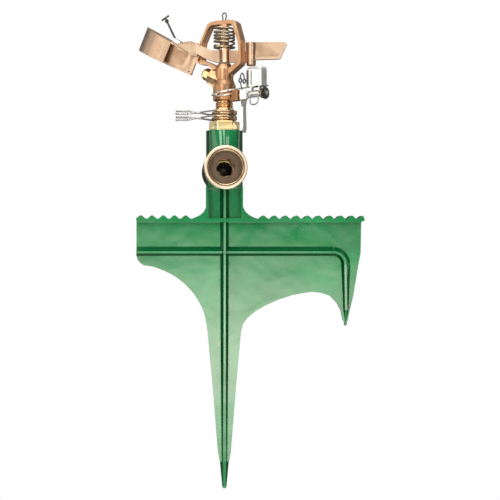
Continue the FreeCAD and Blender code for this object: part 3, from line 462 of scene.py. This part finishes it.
# --------------------------------------------------------- diversion collars
def collar_piece(name, mid, zc, z_a, z_b, body, node):
    R0, wr = 9.0, 0.93
    za0, zb0 = mid + 0.95, mid - 0.95
    coil_pts = []
    n = 108
    for k in range(n + 1):
        f = k / n
        a = math.radians(-90 + 540 * f)
        z = za0 + (zb0 - za0) * min(f * 1.5, 1.0)
        coil_pts.append((R0 * math.cos(a), R0 * math.sin(a), z))

    def hairpin(y, z, side):
        yo = y + side * 1.55
        yi = y - side * 1.55
        return [(-30.6, yi, z), (-36.0, yi, z), (-37.3, yi + side * 0.7, z), (-37.3, yo - side * 0.7, z), (-36.0, yo, z), (-30.0, yo, z)]
    tail_a = hairpin(-2.9, z_a, -1)[::-1]
    tail_a = [tail_a[0]] + tail_a[1:]
    run_a = smooth_path([(-30.6, -1.35, z_a), (-28.4, -2.0, z_a), (-24.6, -2.2, (z_a + zc) / 2), (-20.8, -1.0, zc), (-16.4, -2.2, (zc + za0) / 2), (-11.0, -5.6, za0), (-5.0, -8.3, za0)], 7)
    run_b = smooth_path([(-5.0, 8.3, zb0), (-11.0, 5.6, zb0), (-16.4, 2.2, (zc + zb0) / 2), (-20.8, 1.0, zc), (-24.6, 2.2, (z_b + zc) / 2), (-28.4, 2.0, z_b), (-30.6, 1.35, z_b)], 7)
    hp_a = smooth_path(hairpin(-2.9, z_a, -1), 5)
    hp_b = smooth_path(hairpin(2.9, z_b, 1), 5)
    bm = bmesh.new()
    full = hp_a[::-1][:-1] + run_a + [Vector(p) for p in coil_pts] + run_b + hp_b[1:]
    total = len(full)
    first = len(hp_a) + len(run_a)
    last = first + len(coil_pts)

    def taper(t, r):
        i = t * (total - 1)
        if first <= i <= last:
            return r, r
        d = min(abs(i - first), abs(i - last))
        g = max(0.74, 1 - d * 0.03)
        return r * g, r * g
    wire_mesh(bm, full, wr, 12, taper)
    # pressed finger pad between the two legs of each hairpin
    for y, z in ((-2.9, z_a), (2.9, z_b)):
        pad = [(-31.4, y - 1.6), (-29.0, y - 1.9), (-28.4, y), (-29.0, y + 1.9), (-31.4, y + 1.6)]
        top = [bm.verts.new(Vector((px, py, z + 0.78)) * MM) for px, py in pad]
        bot = [bm.verts.new(Vector((px, py, z - 0.78)) * MM) for px, py in pad]
        bm.faces.new(top)
        bm.faces.new(bot[::-1])
        for k in range(5):
            bm.faces.new((top[k], bot[k], bot[(k + 1) % 5], top[(k + 1) % 5]))
    o = finish_piece(name, bm, COLLAR, body, "wire_silver")
    # painted reflection: coil turns close round the barrel (radius under 11.2 mm) get the brass-tinted copy of the same
    # silver wire, standing in for the brass they reflect
    o.data.materials.append(M["wire_painted_brass_reflection"])
    for poly in o.data.polygons:
        c = poly.center
        if math.hypot(c.x, c.y) < 0.0112:
            poly.material_index = 1
    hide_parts(node)


collar_piece("collar_wire_lower", 78.72, 78.7, 77.0, 79.6, "lower_collar", "collar_lower")
collar_piece("collar_wire_upper", 82.80, 82.8, 81.7, 84.4, "upper_collar", "collar_upper")

# ------------------------------------------------------ thrust washers, neck
bm = bmesh.new()
for k, (r, z0, z1) in enumerate(((6.9, 87.35, 88.15), (6.3, 88.3, 89.1), (6.9, 89.3, 90.1), (6.2, 90.3, 91.6))):
    lathe(bm, [(5.62, z0), (r - 0.2, z0), (r, z0 + 0.2), (r, z1 - 0.2), (r - 0.2, z1), (5.62, z1)], 40)
finish_piece("thrust_washers", bm, Matrix.Identity(4), "head", "brass_neck")

# ------------------------------------------------- hose thread in the swivel
bm = bmesh.new()
pts = []
for k in range(2 * 48 + 14):
    a = 2 * math.pi * k / 48
    pts.append((13.32 * math.cos(a), -27.1 - 2.209 * k / 48.0, 38.4 + 13.32 * math.sin(a)))
wire_mesh(bm, pts, 0.5, 8)
finish_piece("hose_thread", bm, Matrix.Identity(4), "inlet_swivel", "brass_face")

# ------------------------------------------------------------- wire strap
bm = bmesh.new()


def on_barrel(x, z, r=9.55):
    return (x, -math.sqrt(max(r * r - x * x, 0.0)), z)


V3 = rz(-3.2)
upper = [on_barrel(-6.1, 96.6), on_barrel(-5.2, 97.9), on_barrel(-2.0, 98.3), on_barrel(1.6, 98.9), on_barrel(4.8, 99.7), (9.4, -9.6, 100.2), (16.0, -13.6, 100.6), (24.6, -20.6, 101.0)]
lower = [on_barrel(-6.1, 96.6), on_barrel(-5.6, 95.2), on_barrel(-2.6, 95.2), on_barrel(1.8, 95.9), on_barrel(5.4, 97.0), on_barrel(8.4, 97.6)]
back = []
for k in range(1, 30):
    a = math.radians(-25 + 8.4 * k)
    back.append((9.55 * math.cos(a), 9.55 * math.sin(a), 97.6 - 0.04 * k))
path = smooth_path(upper[::-1] + lower[1:] + back, 5)
wire_mesh(bm, path, 0.62, 10)
finish_piece("strap_wire", bm, V3, "head", "chrome")
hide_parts("trip_strap")

# ---------------------------------------------- over-centre spring and links
bm = bmesh.new()
# two small eyes on the lug side and the loop that joins them
for y, z in ((-3.2, 106.2), (1.6, 106.0)):
    ring = []
    for k in range(24):
        a = 2 * math.pi * k / 24
        ring.append((19.0 + 0.4 * math.sin(a), y + 1.5 * math.cos(a), z + 1.5 * math.sin(a)))
    wire_mesh(bm, ring, 0.55, 8, closed=True)
loop = smooth_path([(19.0, -3.2, 107.9), (18.9, -2.6, 110.4), (18.8, -0.8, 112.0), (18.8, 1.0, 110.6), (19.0, 1.6, 107.7)], 6)
wire_mesh(bm, loop, 0.5, 8)
stem = smooth_path([(19.2, -3.2, 104.6), (19.8, -3.0, 101.4), (20.6, -2.6, 98.4), (20.8, -1.4, 96.4)], 6)
wire_mesh(bm, stem, 0.5, 8)
finish_piece("over_centre_spring", bm, TRIP, "trip_arm", "dark")

# formed sheet hood with its tube and legs
def hood_ring(scale_x, scale_y, z, cx=32.6, cy=3.0, half=7.6, depth=7.4, n=40):
    ring = []
    for k in range(n + 1):
        t = math.pi * k / n
        c, s_ = math.cos(t), math.sin(t)
        e = 0.42
        x = cx + scale_x * half * math.copysign(abs(c) ** e, c)
        y = cy - scale_y * depth * abs(s_) ** e
        ring.append((x, y, z))
    return ring


bm = bmesh.new()
levels = [(1.0, 1.0, 100.7), (1.0, 1.0, 102.5), (1.0, 1.0, 106.0), (1.0, 1.0, 110.0), (1.0, 1.0, 112.6), (0.985, 0.985, 113.8), (0.94, 0.94, 114.8), (0.86, 0.86, 115.4), (0.74, 0.74, 115.6)]
outer_rows = [[bm.verts.new(Vector(p) * MM) for p in hood_ring(a, b, z)] for a, b, z in levels]
inner_rows = [[bm.verts.new(Vector(p) * MM) for p in hood_ring(a * 0.885, b * 0.88, z - (0.8 if z > 112 else 0.0))] for a, b, z in levels]
for rows, flip in ((outer_rows, False), (inner_rows, True)):
    for r in range(len(rows) - 1):
        for k in range(len(rows[0]) - 1):
            q = (rows[r][k], rows[r][k + 1], rows[r + 1][k + 1], rows[r + 1][k])
            bm.faces.new(q[::-1] if flip else q)
m = len(levels)
for k in range(len(outer_rows[0]) - 1):
    bm.faces.new((outer_rows[0][k + 1], outer_rows[0][k], inner_rows[0][k], inner_rows[0][k + 1]))
for r in range(m - 1):
    for e in (0, -1):
        bm.faces.new((outer_rows[r][e], outer_rows[r + 1][e], inner_rows[r + 1][e], inner_rows[r][e]))
bm.faces.new(outer_rows[-1])
bm.faces.new(inner_rows[-1][::-1])
bm.faces.new((outer_rows[-1][0], outer_rows[-1][-1], inner_rows[-1][-1], inner_rows[-1][0]))
lathe(bm, [(1.55, 27.4), (2.6, 27.4), (2.8, 27.6), (2.8, 36.2), (2.6, 36.4), (1.55, 36.4)], 32, "X")
for v in bm.verts:
    if abs(v.co.x * 1000 - 32) < 6 and math.hypot(v.co.y * 1000, v.co.z * 1000) < 3.2:
        v.co.z += 0.0952


def bar_box(bm, lo, hi, r=0.2):
    """Small bar with its long edges eased."""
    (x0, y0, z0), (x1, y1, z1) = lo, hi
    sec = [(x0 + r, y0), (x1 - r, y0), (x1, y0 + r), (x1, y1 - r), (x1 - r, y1), (x0 + r, y1), (x0, y1 - r), (x0, y0 + r)]
    a = [bm.verts.new(Vector((x, y, z0)) * MM) for x, y in sec]
    b = [bm.verts.new(Vector((x, y, z1)) * MM) for x, y in sec]
    bm.faces.new(a[::-1])
    bm.faces.new(b)
    for k in range(8):
        bm.faces.new((a[k], a[(k + 1) % 8], b[(k + 1) % 8], b[k]))


for x0 in (27.4, 35.2):
    bar_box(bm, (x0, -1.6, 97.2), (x0 + 1.2, 1.6, 101.6))
# floor strip the legs are riveted to
fl = [(x, y) for x, y, z in hood_ring(0.97, 0.97, 0)] + [(40.0, 5.3), (25.2, 5.3)]
a = [bm.verts.new(Vector((x, y, 100.75)) * MM) for x, y in fl]
b = [bm.verts.new(Vector((x, y, 101.75)) * MM) for x, y in fl]
bm.faces.new(a[::-1])
bm.faces.new(b)
for k in range(len(fl)):
    bm.faces.new((a[k], a[(k + 1) % len(fl)], b[(k + 1) % len(fl)], b[k]))
o = finish_piece("hood_sheet", bm, TRIP, "trip_hood", "chrome", 40)
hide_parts("trip_hammer")

bm = bmesh.new()
post = [(24.0, -0.6, z) for z in (100.4, 104.0, 108.0, 111.5, 113.6)]
wire_mesh(bm, post, 0.85, 10)
# painted reflection: these two thin rods on the hood's face are dark, standing in for dark streaks reflected in the
# chrome
for x in (27.6, 30.8):
    wire_mesh(bm, [(x, -4.5, z) for z in (101.6, 105.0, 109.0, 112.9)], 0.42, 8)
finish_piece("hood_ribs_painted_dark_reflection", bm, TRIP, "trip_hood", "dark")

# wire bail under the hammer
bm = bmesh.new()
bail = smooth_path([(28.2, -2.2, 94.2), (28.0, -2.6, 91.0), (28.6, -2.8, 88.2), (30.6, -2.9, 86.9), (33.4, -2.9, 86.8), (35.6, -2.8, 88.0), (36.2, -2.6, 91.0), (36.0, -2.2, 94.2)], 6)
wire_mesh(bm, bail, 0.6, 8)
cross = smooth_path([(22.4, -3.6, 88.6), (25.0, -3.6, 90.6), (28.2, -3.2, 92.4), (32.0, -2.9, 93.4), (36.4, -2.8, 92.4)], 6)
wire_mesh(bm, cross, 0.5, 8)
finish_piece("trip_bail", bm, TRIP, "trip_hood", "wire_silver")


# ------------------------------------------------------------------- stage
def card(name, w, h, loc, aim, value, soft=None, far=None):
    k = Mat(name)
    k.t.nodes.clear()
    out = k.n("ShaderNodeOutputMaterial")
    em = k.n("ShaderNodeEmission")
    em.inputs[0].default_value = (1.0, 0.94, 0.84, 1.0)
    em.inputs[1].default_value = value
    k.link(em.outputs[0], out.inputs[0])
    if soft:
        tc = k.n("ShaderNodeTexCoord")
        sep = k.n("ShaderNodeSeparateXYZ")
        k.link(tc.outputs["Generated"], sep.inputs[0])
        a = k.rng(sep.outputs[0], soft[0], soft[1], 0.0, 1.0)
        b = k.rng(sep.outputs[1], soft[2], soft[3], 0.0, 1.0)
        ab = k.math("MULTIPLY", a, b)
        if far:
            c = k.rng(sep.outputs[0], far[0], far[1], far[2], 1.0)
            d = k.rng(sep.outputs[1], far[3], far[4], far[5], 1.0)
            ab = k.math("MULTIPLY", ab, k.math("MULTIPLY", c, d))
        k.link(k.math("MULTIPLY", ab, value), em.inputs[1])
    me = bpy.data.meshes.new(name)
    me.from_pydata([(-w / 2, -h / 2, 0), (w / 2, -h / 2, 0), (w / 2, h / 2, 0), (-w / 2, h / 2, 0)], [], [(0, 1, 2, 3)])
    o = bpy.data.objects.new(name, me)
    o.location = loc
    o.rotation_euler = (Vector(aim) - Vector(loc)).to_track_quat("Z", "Y").to_euler()
    o.data.materials.append(k.m)
    scene.collection.objects.link(o)
    o.visible_camera = False
    o.visible_shadow = False
    return o


world = bpy.data.worlds.new("studio")
world.use_nodes = True
wt = world.node_tree
bg = wt.nodes["Background"]
bg.inputs[0].default_value = (1.0, 1.0, 1.0, 1)
bg.inputs[1].default_value = 1.0
bg2 = wt.nodes.new("ShaderNodeBackground")
tc = wt.nodes.new("ShaderNodeTexCoord")
sep = wt.nodes.new("ShaderNodeSeparateXYZ")
wt.links.new(tc.outputs["Generated"], sep.inputs[0])
rampn = wt.nodes.new("ShaderNodeValToRGB")
mr = wt.nodes.new("ShaderNodeMapRange")
mr.inputs[1].default_value, mr.inputs[2].default_value = -1.0, 1.0
wt.links.new(sep.outputs[2], mr.inputs[0])
wt.links.new(mr.outputs[0], rampn.inputs[0])
els = rampn.color_ramp.elements
els[0].position, els[0].color = 0.0, (0.80, 0.80, 0.80, 1)
els[1].position, els[1].color = 1.0, (1.0, 1.0, 1.0, 1)
for pos, v in ((0.10, 0.60), (0.22, 0.16), (0.44, 0.10), (0.56, 0.10), (0.76, 0.20), (0.88, 0.80)):
    e = els.new(pos)
    e.color = (v, v, v, 1)
wt.links.new(rampn.outputs[0], bg2.inputs[0])
bg2.inputs[1].default_value = 1.0
lp = wt.nodes.new("ShaderNodeLightPath")
mx = wt.nodes.new("ShaderNodeMixShader")
wt.links.new(lp.outputs["Is Camera Ray"], mx.inputs[0])
wt.links.new(bg2.outputs[0], mx.inputs[1])
wt.links.new(bg.outputs[0], mx.inputs[2])
wt.links.new(mx.outputs[0], wt.nodes["World Output"].inputs[0])
scene.world = world


def area(name, size, loc, aim, power, color=(1, 1, 1)):
    li = bpy.data.lights.new(name, "AREA")
    li.shape = "RECTANGLE"
    li.size, li.size_y = size
    li.energy = power
    li.color = color
    o = bpy.data.objects.new(name, li)
    o.location = loc
    o.rotation_euler = (Vector(aim) - Vector(loc)).to_track_quat("-Z", "Y").to_euler()
    scene.collection.objects.link(o)
    return o


area("softbox_left", (0.34, 1.3), (-0.68, -1.20, 0.20), (0, 0, 0.0), 8)
area("softbox_right", (0.18, 1.3), (0.60, -1.25, 0.10), (0, 0, 0.0), 3.5)
area("top", (1.2, 1.0), (-0.2, -0.3, 1.35), (0, 0, 0), 11)
area("below", (1.0, 0.8), (0.2, -0.5, -1.25), (0, 0, 0), 4)
area("rim_left", (0.3, 1.2), (-1.3, 0.5, 0.1), (0, 0, 0), 1.5)
area("rim_right", (0.3, 1.2), (1.3, 0.5, 0.1), (0, 0, 0), 2)
card("low_card", 2.0, 1.4, (0.50, -1.6, -0.66), (0.50, 0.0, -0.66), 7.2, (1.0, 0.84, 1.0, 0.81), (0.5, 0.675, 0.4, 0.543, 0.771, 0.1))
card("left_card", 1.1, 0.56, (-1.35, -0.45, 0.45), (0.0, -0.45, 0.45), 2.0)
card("high_card", 1.0, 0.56, (0.0, -1.6, 0.44), (0.0, 0.0, 0.44), 0.95)
